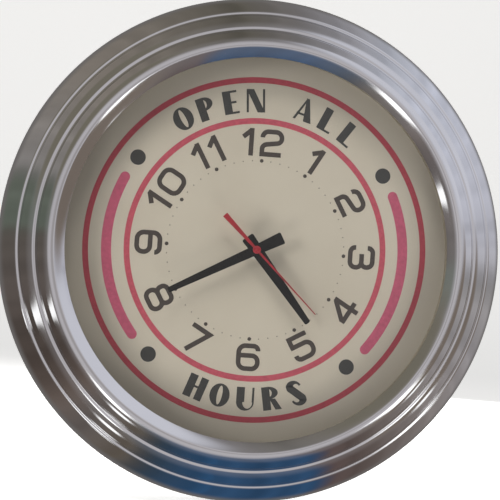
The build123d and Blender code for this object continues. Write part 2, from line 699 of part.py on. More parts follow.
def make_battery_contacts():
    back, front = BATTERY_DEPTH - CONTACT_HALF, BATTERY_DEPTH + CONTACT_HALF
    low, high = BATTERY_Z - CONTACT_HALF, BATTERY_Z + CONTACT_HALF
    right = BATTERY_X + BATTERY_LENGTH / 2 + NUB_LENGTH
    left = BATTERY_X - BATTERY_LENGTH / 2
    wall = BOX_WALL - BOX_HALF
    positive = block(right, right + CONTACT_THICKNESS, back, front, low, high)
    negative = block(wall, wall + CONTACT_THICKNESS, back, front, low, high)
    root = wall + CONTACT_THICKNESS
    coils = Cylinder(SPRING_RADIUS, left - root)
    spring = Pos((left + root) / 2, -BATTERY_DEPTH, BATTERY_Z) * Rot(0, 90, 0) * coils
    return [positive, negative + spring]


# ---- fastening of the movement, and the hands ------------------------------------------------------

WASHER_THICKNESS = 0.6
RUBBER_WASHER_RADIUS = 14.0
BRASS_WASHER_RADIUS = 7.0
NUT_FRONT = 75.6
NUT_RADIUS = 6.35  # to its corners


def make_rubber_washer():
    return tube(RUBBER_WASHER_RADIUS, BUSH_RADIUS + SCREW_CLEARANCE, BOX_FRONT, DIAL_BACK)


def make_brass_washer():
    front = DIAL_DEPTH + WASHER_THICKNESS
    return tube(BRASS_WASHER_RADIUS, BUSH_RADIUS + SCREW_CLEARANCE, DIAL_DEPTH, front)


def make_hex_nut():
    nut = prism(RegularPolygon(NUT_RADIUS, 6), DIAL_DEPTH + WASHER_THICKNESS, NUT_FRONT)
    return nut - rod(BUSH_RADIUS, DIAL_DEPTH - 1, NUT_FRONT + 1)


HAND_THICKNESS = 0.5
HOUR_HAND_BACK = 78.0
MINUTE_HAND_BACK = 79.7
SECOND_HAND_BACK = 81.2
SECOND_THICKNESS = 0.3
HOUR_BOSS_RADIUS, MINUTE_BOSS_RADIUS, SECOND_HUB_RADIUS, SECOND_COLLAR_RADIUS = 3.6, 3.0, 3.0, 2.0
BOSS_GAP = 0.35  # between a hand's boss and the tube below it

# Each blade: length and width of its tip, width at its root, length and width of its tail.
HOUR_BLADE = (66.9, 4.4, 8.9, 11.7, 9.7)
MINUTE_BLADE = (72.1, 4.1, 7.4, 21.5, 9.3)
SECOND_BLADE = (65.1, 0.7, 1.7, 35.1, 4.1)
CORNER_SHARE = 0.3  # rounding of a blade's corners, as a share of its tip's width


def make_blade(sizes, back, front):
    """A hand pointing at twelve: it narrows to its tip and widens again along its tail."""
    tip_length, tip_width, root_width, tail_length, tail_width = sizes
    points = [
        (-tip_width / 2, tip_length),
        (tip_width / 2, tip_length),
        (root_width / 2, 0.0),
        (tail_width / 2, -tail_length),
        (-tail_width / 2, -tail_length),
        (-root_width / 2, 0.0),
    ]
    blade = prism(outline_face(points), back, front)
    return fillet(blade.edges().filter_by(Axis.Y), CORNER_SHARE * tip_width)


def make_hour_hand():
    blade = make_blade(HOUR_BLADE, HOUR_HAND_BACK, HOUR_HAND_BACK + HAND_THICKNESS)
    boss = rod(HOUR_BOSS_RADIUS, HOUR_HAND_BACK - 1.0, HOUR_HAND_BACK)
    hand = blade + boss - rod(HOUR_TUBE_RADIUS, HOUR_HAND_BACK - 2, HOUR_HAND_BACK + 2)
    return Rot(0, HOUR_ANGLE, 0) * hand


def make_minute_hand():
    front = MINUTE_HAND_BACK + HAND_THICKNESS
    blade = make_blade(MINUTE_BLADE, MINUTE_HAND_BACK, front)
    boss = rod(MINUTE_BOSS_RADIUS, HOUR_TUBE_FRONT + BOSS_GAP, MINUTE_HAND_BACK)
    hand = blade + boss - rod(MINUTE_TUBE_RADIUS, HOUR_TUBE_FRONT, front + 1)
    return Rot(0, MINUTE_ANGLE, 0) * hand


def make_second_hand():
    front = SECOND_HAND_BACK + SECOND_THICKNESS
    needle = make_blade(SECOND_BLADE, SECOND_HAND_BACK, front)
    hub = rod(SECOND_HUB_RADIUS, SECOND_HAND_BACK, SECOND_HUB_FRONT)
    collar = rod(SECOND_COLLAR_RADIUS, MINUTE_TUBE_FRONT + BOSS_GAP, SECOND_HAND_BACK)
    hand = union([needle, hub, collar])
    hand -= rod(SECOND_ARBOR_RADIUS, MINUTE_TUBE_FRONT, SECOND_HUB_FRONT - 0.3)
    return Rot(0, SECOND_ANGLE, 0) * hand


# ---- the assembly -----------------------------------------------------------------------------------

NODES = {
    "bezel": make_bezel,
    "bezel_mounting_ring": make_mounting_ring,
    "mounting_ring_screws": make_mounting_ring_screws,
    "crystal": make_crystal,
    "crystal_gasket": make_crystal_gasket,
    "dial_spacer_ring": make_dial_spacer_ring,
    "dial_plate": make_dial_plate,
    "dial_screws": lambda: pan_screws(DIAL_SCREW_CIRCLE, DIAL_DEPTH, 1, DIAL_SCREW_START),
    "case_wall": make_case_wall,
    "dial_flange": make_dial_flange,
    "rear_flange": make_rear_flange,
    "back_cover": make_back_cover,
    "back_cover_screws": lambda: pan_screws(COVER_SCREW_CIRCLE, COVER_FACE, -1, COVER_SCREW_START),
    "hanger_plate": make_hanger_plate,
    "hanger_rivets": make_hanger_rivets,
    "wall_bumpers": make_wall_bumpers,
    "movement_front_housing": make_movement_front_housing,
    "threaded_bush": make_threaded_bush,
    "movement_rear_cover": make_movement_rear_cover,
    "middle_plate": make_middle_plate,
    "stator": make_stator,
    "coil": make_coil,
    "circuit_board": make_circuit_board,
    "chip": make_chip,
    "quartz_crystal": make_quartz_crystal,
    "battery": make_battery,
    "battery_contacts": make_battery_contacts,
    "rotor": make_rotor,
    "intermediate_wheel": make_intermediate_wheel,
    "second_wheel": make_second_wheel,
    "third_wheel": make_third_wheel,
    "centre_wheel": make_centre_wheel,
    "minute_pinion": make_minute_pinion,
    "minute_wheel": make_minute_wheel,
    "hour_wheel": make_hour_wheel,
    "setting_knob": make_setting_knob,
    "rubber_washer": make_rubber_washer,
    "brass_washer": make_brass_washer,
    "hex_nut": make_hex_nut,
    "hour_hand": make_hour_hand,
    "minute_hand": make_minute_hand,
    "second_hand": make_second_hand,
}

for node, make in NODES.items():
    save(node, make())
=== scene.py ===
import math

import bmesh
import bpy
from mathutils import Matrix, Vector


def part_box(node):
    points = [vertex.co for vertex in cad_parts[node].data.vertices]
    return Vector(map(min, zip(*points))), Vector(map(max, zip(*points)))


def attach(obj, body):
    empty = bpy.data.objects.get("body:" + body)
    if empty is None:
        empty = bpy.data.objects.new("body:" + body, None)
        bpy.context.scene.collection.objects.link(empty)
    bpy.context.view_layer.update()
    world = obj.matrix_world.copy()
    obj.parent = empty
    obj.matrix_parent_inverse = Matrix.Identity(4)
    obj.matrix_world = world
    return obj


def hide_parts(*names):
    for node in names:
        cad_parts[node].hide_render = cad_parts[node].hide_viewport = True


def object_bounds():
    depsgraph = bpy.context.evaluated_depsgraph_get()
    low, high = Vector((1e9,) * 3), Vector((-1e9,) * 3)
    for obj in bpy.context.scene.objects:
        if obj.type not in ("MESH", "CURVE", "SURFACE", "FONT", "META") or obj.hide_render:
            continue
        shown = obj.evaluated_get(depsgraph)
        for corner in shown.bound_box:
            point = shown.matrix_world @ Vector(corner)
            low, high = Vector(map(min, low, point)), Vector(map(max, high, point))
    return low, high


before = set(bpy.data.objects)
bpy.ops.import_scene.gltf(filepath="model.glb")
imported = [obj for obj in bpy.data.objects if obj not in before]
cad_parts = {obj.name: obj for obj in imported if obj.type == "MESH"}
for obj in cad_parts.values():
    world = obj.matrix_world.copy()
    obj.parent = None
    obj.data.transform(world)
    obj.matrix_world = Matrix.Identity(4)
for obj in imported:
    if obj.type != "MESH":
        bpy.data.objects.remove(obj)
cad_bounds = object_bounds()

MM = 0.001
CASE = "clock_case"

# The dial's front face, and the ink on it (mm). Each strip stands a step in front of the one
# before, in sets of LAYERS, so that strips that cross don't share a face.
DIAL_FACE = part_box("dial_plate")[0][1] / MM
PRINT_THICKNESS = 0.06
PRINT_SINK = 0.001
LAYER_STEP = 0.008
LAYERS = 4


# ---- small tools ----------------------------------------------------------------------------


def polar(radius, degrees):
    angle = math.radians(degrees)
    return radius * math.sin(angle), radius * math.cos(angle)


def turned(points, degrees, centre=(0.0, 0.0)):
    """Turns flat points clockwise, as seen from the front, and moves them to a centre."""
    angle = math.radians(degrees)
    cos, sin = math.cos(angle), math.sin(angle)
    return [(centre[0] + x * cos + z * sin, centre[1] - x * sin + z * cos) for x, z in points]


def new_object(name, mesh, body, material=None):
    piece = bpy.data.objects.new(name, mesh)
    bpy.context.scene.collection.objects.link(piece)
    if material:
        piece.data.materials.append(material)
    if body:
        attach(piece, body)
    return piece


def smooth(mesh, angle=None):
    mesh.shade_smooth()
    if angle is not None:
        mesh.set_sharp_from_angle(angle=math.radians(angle))


def finished_mesh(name, made):
    """The mesh of a closed solid, with its faces turned outwards."""
    bmesh.ops.recalc_face_normals(made, faces=made.faces)
    mesh = bpy.data.meshes.new(name)
    made.to_mesh(mesh)
    made.free()
    return mesh


def flat_mesh(name, loops, back, front):
    """Thin solids between two depths (mm), one for each flat outline in x and z."""
    made = bmesh.new()
    for loop in loops:
        lower = [made.verts.new((x * MM, back * MM, z * MM)) for x, z in loop]
        upper = [made.verts.new((x * MM, front * MM, z * MM)) for x, z in loop]
        made.faces.new(lower)
        made.faces.new(upper[::-1])
        count = len(loop)
        for k in range(count):
            after = (k + 1) % count
            made.faces.new((lower[k], upper[k], upper[after], lower[after]))
    return finished_mesh(name, made)


def strip_mesh(name, strips, back, front):
    """Thin solids from pairs of matching edges: each strip is (one side, other side, closed)."""
    made = bmesh.new()
    for order, (side, other, closed) in enumerate(strips):
        face = front - LAYER_STEP * (order % LAYERS)
        rows = []
        for points, depth in ((side, back), (side, face), (other, face), (other, back)):
            rows.append([made.verts.new((x * MM, depth * MM, z * MM)) for x, z in points])
        count = len(side)
        for k in range(count if closed else count - 1):
            after = (k + 1) % count
            for row in range(4):
                a, b = rows[row], rows[(row + 1) % 4]
                made.faces.new((a[k], a[after], b[after], b[k]))
        if not closed:
            made.faces.new([row[0] for row in rows])
            made.faces.new([row[-1] for row in rows][::-1])
    return finished_mesh(name, made)


def lathe_mesh(name, profile, segments):
    """Turns a closed profile of (radius, y) in mm about the hands' axis."""
    made = bmesh.new()
    rings = []
    for radius, y in profile:
        ring = []
        for k in range(segments):
            x, z = polar(radius * MM, 360 / segments * k)
            ring.append(made.verts.new((x, y * MM, z)))
        rings.append(ring)
    for j in range(len(rings)):
        here, there = rings[j], rings[(j + 1) % len(rings)]
        for k in range(segments):
            after = (k + 1) % segments
            made.faces.new((here[k], here[after], there[after], there[k]))
    return finished_mesh(name, made)


# ---- materials --------------------------------------------------------------------------------


NOISE_SPAN = (0.3, 0.7)


def ranged(tree, value, span, result=(0.0, 1.0), kind="LINEAR"):
    """Carries a value from one span to another."""
    node = tree.nodes.new("ShaderNodeMapRange")
    node.interpolation_type = kind
    for socket, number in zip(("From Min", "From Max", "To Min", "To Max"), (*span, *result)):
        node.inputs[socket].default_value = number
    tree.links.new(value, node.inputs["Value"])
    return node.outputs["Result"]


def worked_out(tree, operation, value, *numbers):
    """A value after one step of arithmetic with fixed numbers."""
    node = tree.nodes.new("ShaderNodeMath")
    node.operation = operation
    tree.links.new(value, node.inputs[0])
    for socket, number in zip(node.inputs[1:], numbers):
        socket.default_value = number
    return node.outputs[0]


def multiplied(tree, colour, value):
    """A colour multiplied by a value."""
    mix = tree.nodes.new("ShaderNodeMix")
    mix.data_type = "RGBA"
    mix.blend_type = "MULTIPLY"
    mix.inputs[0].default_value = 1.0
    tree.links.new(colour, mix.inputs[6])
    tree.links.new(value, mix.inputs[7])
    return mix.outputs[2]


def line_noise(tree, value, scale, detail=2.0):
    """Noise that varies along one value only, such as the marks of a lathe."""
    node = tree.nodes.new("ShaderNodeTexNoise")
    node.noise_dimensions = "1D"
    node.inputs["Scale"].default_value = scale
    node.inputs["Detail"].default_value = detail
    tree.links.new(value, node.inputs["W"])
    return node.outputs["Fac"]


class Finish:
    """A Principled material, with short ways to add procedural detail."""

    def __init__(self, name, colour, metallic=0.0, roughness=0.5, coat=0.0, specular=0.5):
        self.material = bpy.data.materials.new(name)
        self.material.use_nodes = True
        self.tree = self.material.node_tree
        self.nodes, self.links = self.tree.nodes, self.tree.links
        self.shader = self.nodes["Principled BSDF"]
        self.colour = colour
        self.shader.inputs["Base Color"].default_value = (*colour, 1)
        self.shader.inputs["Metallic"].default_value = metallic
        self.shader.inputs["Roughness"].default_value = roughness
        self.shader.inputs["Coat Weight"].default_value = coat
        self.shader.inputs["Specular IOR Level"].default_value = specular
        self.place = self.nodes.new("ShaderNodeTexCoord").outputs["Object"]
        self.material.diffuse_color = (*colour, 1)

    def noise(self, scale, detail=4.0, stretch=None):
        place = self.place
        if stretch:
            mapping = self.nodes.new("ShaderNodeMapping")
            mapping.inputs["Scale"].default_value = stretch
            self.links.new(self.place, mapping.inputs["Vector"])
            place = mapping.outputs["Vector"]
        node = self.nodes.new("ShaderNodeTexNoise")
        node.inputs["Scale"].default_value = scale
        node.inputs["Detail"].default_value = detail
        self.links.new(place, node.inputs["Vector"])
        return node.outputs["Fac"]

    def radius(self):
        """Distance from the hands' axis, in metres."""
        split = self.nodes.new("ShaderNodeSeparateXYZ")
        self.links.new(self.place, split.inputs[0])
        join = self.nodes.new("ShaderNodeCombineXYZ")
        self.links.new(split.outputs["X"], join.inputs["X"])
        self.links.new(split.outputs["Z"], join.inputs["Y"])
        length = self.nodes.new("ShaderNodeVectorMath")
        length.operation = "LENGTH"
        self.links.new(join.outputs[0], length.inputs[0])
        return length.outputs["Value"]

    def along(self, axis):
        """The place along one axis, in metres."""
        split = self.nodes.new("ShaderNodeSeparateXYZ")
        self.links.new(self.place, split.inputs[0])
        return split.outputs[axis]

    def tint(self, value, colours, stepped=False):
        """Colours the base by a value: a list of (position, colour), blended or in steps."""
        ramp = self.nodes.new("ShaderNodeValToRGB")
        ramp.color_ramp.interpolation = "CONSTANT" if stepped else "LINEAR"
        elements = ramp.color_ramp.elements
        while len(elements) < len(colours):
            elements.new(0.5)
        for element, (position, colour) in zip(elements, colours):
            element.position = position
            element.color = (*colour, 1)
        self.links.new(value, ramp.inputs["Fac"])
        self.links.new(ramp.outputs["Color"], self.shader.inputs["Base Color"])
        return self

    def shade(self, value):
        """Multiplies the base colour by a value."""
        base = self.shader.inputs["Base Color"]
        self.links.new(multiplied(self.tree, base.links[0].from_socket, value), base)
        return self

    def roughen(self, value, low, high):
        """Carries a noise's usual span to a span of roughness."""
        result = ranged(self.tree, value, NOISE_SPAN, (low, high))
        self.links.new(result, self.shader.inputs["Roughness"])
        return self

    def bump(self, value, distance, strength=1.0):
        node = self.nodes.new("ShaderNodeBump")
        node.inputs["Distance"].default_value = distance
        node.inputs["Strength"].default_value = strength
        self.links.new(value, node.inputs["Height"])
        previous = self.shader.inputs["Normal"]
        if previous.is_linked:
            self.links.new(previous.links[0].from_socket, node.inputs["Normal"])
        self.links.new(node.outputs["Normal"], previous)
        return self


def shades(colour, spread):
    darker = tuple(max(0.0, c * (1 - spread)) for c in colour)
    lighter = tuple(min(1.0, c * (1 + spread)) for c in colour)
    return [(0.25, darker), (0.75, lighter)]


def chrome_finish():
    """Polished spun chrome: faint turning marks, a little haze and specks of wear."""
    finish = Finish("chrome_plate", (0.80, 0.80, 0.81), metallic=1.0, roughness=0.09)
    turning = line_noise(finish.tree, finish.radius(), 2600.0)
    finish.roughen(finish.noise(38.0, 6.0), 0.06, 0.13)
    finish.bump(turning, 0.0000035, 0.5)
    finish.bump(finish.noise(16.0, 2.0), 0.00012, 0.35)
    finish.tint(finish.noise(9.0, 5.0), [(0.3, (0.74, 0.74, 0.75)), (0.7, (0.84, 0.84, 0.85))])
    return finish.material


# The painted shade at the dial's rim, where the bezel's lip would shade it: the radii where it begins
# and is full, in metres, and its shade there.
PAINTED_RIM_SHADE_SPAN = (0.108, 0.141)
PAINTED_RIM_SHADE = 0.69


def dial_finish():
    """Cream enamel with a slow mottle, a painted shade that darkens the rim under the bezel's lip, and a
    faint orange peel.
    """
    finish = Finish("dial_cream", (0.62, 0.55, 0.45), roughness=0.5, coat=0.1)
    finish.tint(
        finish.noise(14.0, 8.0),
        [(0.25, (0.70, 0.62, 0.53)), (0.5, (0.75, 0.67, 0.58)), (0.8, (0.79, 0.71, 0.62))],
    )
    # Painted shade: the base colour darkens towards the rim, as the bezel's lip would shade it.
    finish.shade(ranged(finish.tree, finish.radius(), PAINTED_RIM_SHADE_SPAN, (1.0, PAINTED_RIM_SHADE)))
    finish.roughen(finish.noise(160.0, 3.0), 0.42, 0.58)
    finish.bump(finish.noise(900.0, 2.0), 0.00002, 0.4)
    return finish.material


def ink_finish(name, colour, spread=0.14):
    """Screen-printed ink, slightly uneven in cover."""
    finish = Finish(name, colour, roughness=0.55)
    finish.tint(finish.noise(420.0, 6.0), shades(colour, spread))
    finish.bump(finish.noise(1500.0, 2.0), 0.00001, 0.3)
    return finish.material


def paint_finish(name, colour, roughness=0.42, coat=0.15, specular=0.5):
    """Sprayed paint on steel, with orange peel and scuffs."""
    finish = Finish(name, colour, roughness=roughness, coat=coat, specular=specular)
    finish.tint(finish.noise(60.0, 8.0), shades(colour, 0.22))
    finish.roughen(finish.noise(90.0, 6.0), roughness - 0.1, roughness + 0.16)
    finish.bump(finish.noise(700.0, 3.0), 0.00003, 0.5)
    return finish.material


def metal_finish(name, colour, roughness=0.3, grain=(1.0, 1.0, 1.0)):
    finish = Finish(name, colour, metallic=1.0, roughness=roughness)
    finish.tint(finish.noise(240.0, 6.0, grain), shades(colour, 0.16))
    finish.roughen(finish.noise(320.0, 5.0, grain), roughness - 0.09, roughness + 0.12)
    finish.bump(finish.noise(1400.0, 3.0, grain), 0.000012, 0.5)
    return finish.material


def plastic_finish(name, colour, roughness=0.45, grain=0.000035):
    """Moulded plastic with a fine spark-eroded texture."""
    finish = Finish(name, colour, roughness=roughness)
    finish.tint(finish.noise(120.0, 6.0), shades(colour, 0.12))
    finish.roughen(finish.noise(400.0, 4.0), roughness - 0.07, roughness + 0.1)
    finish.bump(finish.noise(2600.0, 2.0), grain, 0.6)
    return finish.material


def rubber_finish():
    finish = Finish("black_rubber_skin", (0.022, 0.022, 0.023), roughness=0.75)
    finish.tint(finish.noise(300.0, 6.0), [(0.3, (0.014, 0.014, 0.015)), (0.8, (0.05, 0.048, 0.046))])
    finish.bump(finish.noise(1800.0, 3.0), 0.00004, 0.7)
    return finish.material


# The share of light that the glass mirrors: straight on, what is added towards grazing, and how
# steeply that rises.
GLASS_MIRROR, GLASS_GRAZING, GLASS_POWER = 0.03, 0.97, 5.0


def glass_finish():
    """Clear flat glass: a clear body and a Fresnel reflection, with faint smudges."""
    material = bpy.data.materials.new("clear_glass")
    material.use_nodes = True
    tree = material.node_tree
    nodes, links = tree.nodes, tree.links
    nodes.remove(nodes["Principled BSDF"])
    smudge = nodes.new("ShaderNodeTexNoise")
    smudge.inputs["Scale"].default_value = 26.0
    smudge.inputs["Detail"].default_value = 6.0
    links.new(nodes.new("ShaderNodeTexCoord").outputs["Object"], smudge.inputs["Vector"])
    clear = nodes.new("ShaderNodeBsdfTransparent")
    clear.inputs["Color"].default_value = (0.955, 0.965, 0.955, 1)
    shine = nodes.new("ShaderNodeBsdfGlossy")
    shine.inputs["Color"].default_value = (0.95, 0.97, 1.0, 1)
    links.new(ranged(tree, smudge.outputs["Fac"], (0.3, 0.75), (0.02, 0.11)), shine.inputs["Roughness"])
    facing = nodes.new("ShaderNodeLayerWeight").outputs["Facing"]
    grazing = worked_out(tree, "POWER", facing, GLASS_POWER)
    mirrored = worked_out(tree, "MULTIPLY_ADD", grazing, GLASS_GRAZING, GLASS_MIRROR)
    mix = nodes.new("ShaderNodeMixShader")
    links.new(mirrored, mix.inputs["Fac"])
    links.new(clear.outputs[0], mix.inputs[1])
    links.new(shine.outputs[0], mix.inputs[2])
    links.new(mix.outputs[0], nodes["Material Output"].inputs["Surface"])
    return material


def board_finish():
    """Green circuit laminate with a grid of lighter tracks."""
    finish = Finish("green_laminate", (0.03, 0.16, 0.07), roughness=0.35, coat=0.3)
    tracks = finish.nodes.new("ShaderNodeTexBrick")
    tracks.inputs["Scale"].default_value = 260.0
    tracks.inputs["Color1"].default_value = (0.02, 0.13, 0.05, 1)
    tracks.inputs["Color2"].default_value = (0.04, 0.2, 0.09, 1)
    tracks.inputs["Mortar"].default_value = (0.10, 0.30, 0.12, 1)
    turn = finish.nodes.new("ShaderNodeMapping")
    turn.inputs["Rotation"].default_value = (math.radians(90), 0, 0)
    finish.links.new(finish.place, turn.inputs["Vector"])
    finish.links.new(turn.outputs["Vector"], tracks.inputs["Vector"])
    finish.links.new(tracks.outputs["Color"], finish.shader.inputs["Base Color"])
    finish.bump(tracks.outputs["Fac"], 0.00003, 0.5)
    return finish.material


COIL_WIRE = 0.00022  # metres from one turn to the next


def coil_finish():
    """Enamelled copper wire wound in close turns, with painted shade darkening the grooves between the
    turns.
    """
    finish = Finish("copper_winding", (0.62, 0.26, 0.1), metallic=0.8, roughness=0.35)
    turns = worked_out(finish.tree, "MULTIPLY", finish.along("Z"), 2 * math.pi / COIL_WIRE)
    height = ranged(finish.tree, worked_out(finish.tree, "SINE", turns), (-1.0, 1.0))
    # Painted shade: the colour darkens where the wire dips between turns.
    finish.tint(height, [(0.0, (0.28, 0.09, 0.03)), (1.0, (0.72, 0.32, 0.13))])
    finish.bump(height, 0.00006, 0.9)
    return finish.material


def battery_finish():
    """Printed sleeve: black body with a copper-coloured band at its positive end."""
    finish = Finish("battery_sleeve", (0.02, 0.02, 0.025), roughness=0.28, coat=0.4)
    low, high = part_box("battery")
    along = ranged(finish.tree, finish.along("X"), (low[0], high[0]))
    bands = [
        (0.0, (0.55, 0.55, 0.56)),
        (0.025, (0.02, 0.02, 0.024)),
        (0.68, (0.5, 0.24, 0.09)),
        (0.965, (0.6, 0.6, 0.6)),
    ]
    finish.tint(along, bands, stepped=True)
    finish.roughen(finish.noise(200.0, 5.0), 0.2, 0.36)
    return finish.material


CHROME = chrome_finish()
DIAL = dial_finish()
BLACK_PAINT = paint_finish("black_case_paint", (0.028, 0.028, 0.03))
ZINC = metal_finish("zinc_plate", (0.60, 0.60, 0.57), 0.34)
BRASS = metal_finish("turned_brass", (0.68, 0.50, 0.22), 0.28)
RUBBER = rubber_finish()
GLASS = glass_finish()
BLACK_PLASTIC = plastic_finish("black_moulding", (0.024, 0.024, 0.026), 0.5)
WHITE_PLASTIC = plastic_finish("white_moulding", (0.78, 0.77, 0.72), 0.38, 0.000012)
# Painted shade: the spacer ring's cream moulding is given a dark brown-grey that stands in for the shade
# inside the bezel's lip.
SPACER_PLASTIC_PAINTED_SHADE = plastic_finish("cream_moulding_darkened_as_shade", (0.22, 0.19, 0.15), 0.45)
HAND_BLACK = paint_finish("hand_black", (0.012, 0.011, 0.010), 0.5, 0.0, 0.2)
HAND_RED = paint_finish("hand_red", (0.42, 0.022, 0.035), 0.34)

NODE_FINISH = {
    "crystal": GLASS,
    "dial_plate": DIAL,
    "crystal_gasket": RUBBER,
    "dial_spacer_ring": SPACER_PLASTIC_PAINTED_SHADE,
    "case_wall": BLACK_PAINT,
    "bezel_mounting_ring": BLACK_PAINT,
    "back_cover": BLACK_PAINT,
    "dial_flange": ZINC,
    "rear_flange": ZINC,
    "hanger_plate": ZINC,
    "hanger_rivets": ZINC,
    "mounting_ring_screws": ZINC,
    "dial_screws": ZINC,
    "back_cover_screws": ZINC,
    "wall_bumpers": RUBBER,
    "rubber_washer": RUBBER,
    "movement_front_housing": BLACK_PLASTIC,
    "movement_rear_cover": BLACK_PLASTIC,
    "middle_plate": BLACK_PLASTIC,
    "threaded_bush": BRASS,
    "stator": metal_finish("stamped_silicon_steel", (0.42, 0.42, 0.43), 0.36, (1.0, 1.0, 6.0)),
    "coil": coil_finish(),
    "circuit_board": board_finish(),
    "chip": plastic_finish("epoxy_blob", (0.012, 0.012, 0.012), 0.22),
    "quartz_crystal": metal_finish("bright_can", (0.74, 0.74, 0.73), 0.2),
    "battery": battery_finish(),
    "battery_contacts": metal_finish("nickel_plate", (0.70, 0.69, 0.65), 0.22),
    "hour_hand": HAND_BLACK,
    "minute_hand": HAND_BLACK,
    "second_hand": HAND_RED,
}


def finish_nodes():
    for name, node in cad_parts.items():
        material = NODE_FINISH.get(name, WHITE_PLASTIC)
        node.data.materials.clear()
        node.data.materials.append(material)


# ---- bezel ------------------------------------------------------------------------------------

# The spun ring's outer line from its rear hem to its inner edge: radius, depth, and the bulge
# of the stretch that leads to each point. The same line as the CAD ring's.
BEZEL_LINE = [
    (186.0, 43.0, 0.0),
    (189.4, 43.0, 0.0),
    (190.5, 44.2, 0.3),
    (190.5, 46.0, 0.0),
    (177.8, 72.0, 2.6),
    (175.2, 72.2, 0.0),
    (165.4, 81.1, 1.5),
    (162.7, 81.3, 0.0),
    (155.6, 90.2, 1.3),
    (150.0, 91.0, 0.25),
    (141.9, 87.2, 0.3),
]
WIDEST_DEPTH = BEZEL_LINE[3][1]
BEZEL_SEGMENTS = 300
BEZEL_STEP = 0.36  # from one outside point to the next
SOFTENING = 4  # passes that round the line's corners
INSIDE_SHARE = 3  # one inside point to this many outside
SHARP_ANGLE = 50.0
SHEET = 1.0  # the metal's thickness


def stretch_points(start, end, bulge, step):
    """Points along a stretch that bulges outwards like a shallow arc."""
    length = math.dist(start, end)
    normal = (-(end[1] - start[1]) / length, (end[0] - start[0]) / length)
    count = max(2, round(length / step))
    points = []
    for k in range(1, count + 1):
        share = k / count
        lift = 4 * bulge * share * (1 - share)
        points.append(tuple(start[i] + (end[i] - start[i]) * share + lift * normal[i] for i in (0, 1)))
    return points


def softened(points, passes):
    """Rounds the corners of a line of even points and keeps its ends."""
    for _ in range(passes):
        inside = [
            tuple(0.25 * a[i] + 0.5 * b[i] + 0.25 * c[i] for i in (0, 1))
            for a, b, c in zip(points, points[1:], points[2:])
        ]
        points = [points[0], *inside, points[-1]]
    return points


def inset(points, distance):
    """The same line, moved sideways towards the metal's inner face."""
    moved = []
    for k, point in enumerate(points):
        before, after = points[max(k - 1, 0)], points[min(k + 1, len(points) - 1)]
        length = math.dist(before, after)
        normal = (-(after[1] - before[1]) / length, (after[0] - before[0]) / length)
        moved.append((point[0] - distance * normal[0], point[1] - distance * normal[1]))
    return moved


def make_bezel():
    """The spun ring: one sheet, turned from its outer line and the same line set inwards."""
    line = [(radius, -depth) for radius, depth, _ in BEZEL_LINE]
    outer = [line[0]]
    for start, end, (_, _, bulge) in zip(line, line[1:], BEZEL_LINE[1:]):
        outer += stretch_points(start, end, bulge, BEZEL_STEP)
    outer = softened(outer, SOFTENING)
    coarse = outer[:-2:INSIDE_SHARE] + [outer[-1]]
    inner = inset(coarse, SHEET)
    mesh = lathe_mesh("bezel_chrome", outer + inner[::-1], BEZEL_SEGMENTS)
    smooth(mesh, SHARP_ANGLE)
    bezel = new_object("bezel_chrome", mesh, CASE, CHROME)
    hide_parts("bezel")


# ---- printing on the dial -----------------------------------------------------------------------

RING_WIDTH = 4.3
INNER_RING = 95.9
OUTER_RING = 126.4
BAND_RADIUS = 111.0
ARC_WIDTH = 7.4
ARC_FROM, ARC_TO = 63.0, 130.0
BIG_DOT = 5.75
BIG_DOT_ANGLES = (56.0, 138.0)
TRACK_RADIUS = 66.4
HOUR_DOT, HOUR_DOT_SIDES = 1.4, 20
MINUTE_DOT, MINUTE_DOT_SIDES = 0.48, 12
NUMERAL_RADIUS = 80.0
NUMERAL_STROKE = 3.5


def printed(name, mesh_maker, shapes, material):
    """One colour of ink on the dial."""
    mesh = mesh_maker(name, shapes, DIAL_FACE + PRINT_SINK, DIAL_FACE - PRINT_THICKNESS)
    return new_object(name, mesh, CASE, material)


def circle(radius, centre=(0.0, 0.0), count=32):
    points = [polar(radius, 360 / count * k) for k in range(count)]
    return [(centre[0] + x, centre[1] + z) for x, z in points]


def ring_strip(radius, width, count=256):
    return circle(radius + width / 2, count=count), circle(radius - width / 2, count=count), True


CAP_STEPS, ARC_STEPS = 10, 60
CAP_TIP = 0.05  # half the width left at a cap's very end


def side_arc(side):
    """A thick arc whose angles bunch up at the ends so that the caps are round."""
    outer, inner = [], []
    half = ARC_WIDTH / 2
    cap = math.degrees(half / BAND_RADIUS)
    bunched = [cap * (1 - math.cos(math.radians(90 * k / CAP_STEPS))) for k in range(CAP_STEPS + 1)]
    even = ARC_TO - ARC_FROM - 2 * cap
    angles = [ARC_FROM + step for step in bunched]
    angles += [ARC_FROM + cap + even * k / ARC_STEPS for k in range(1, ARC_STEPS)]
    angles += [ARC_TO - step for step in reversed(bunched)]
    for angle in angles:
        near = min(angle - ARC_FROM, ARC_TO - angle)
        reach = half if near >= cap else half * math.sqrt(max(0.0, 1 - (1 - near / cap) ** 2))
        reach = max(reach, CAP_TIP)
        outer.append(polar(BAND_RADIUS + reach, side * angle))
        inner.append(polar(BAND_RADIUS - reach, side * angle))
    return outer, inner, False


FILLET_STEPS = 8
MITRE_LIMIT = 0.35


def filleted(points, radii, closed=False):
    """A line whose corners are rounded by arcs of the given radii."""
    count = len(points)
    line = []
    for k, (point, radius) in enumerate(zip(points, radii)):
        if radius <= 0 or (not closed and k in (0, count - 1)):
            line.append(Vector(point))
            continue
        corner = Vector(point)
        to_before = (Vector(points[k - 1]) - corner).normalized()
        to_after = (Vector(points[(k + 1) % count]) - corner).normalized()
        half = to_before.angle(to_after) / 2
        setback = radius / math.tan(half)
        centre = corner + (to_before + to_after).normalized() * (radius / math.sin(half))
        start, end = corner + to_before * setback - centre, corner + to_after * setback - centre
        sweep = start.angle_signed(end)
        for step in range(FILLET_STEPS + 1):
            turn = -sweep * step / FILLET_STEPS
            cos, sin = math.cos(turn), math.sin(turn)
            line.append(centre + Vector((start.x * cos - start.y * sin, start.x * sin + start.y * cos)))
    return [tuple(p) for p in line]


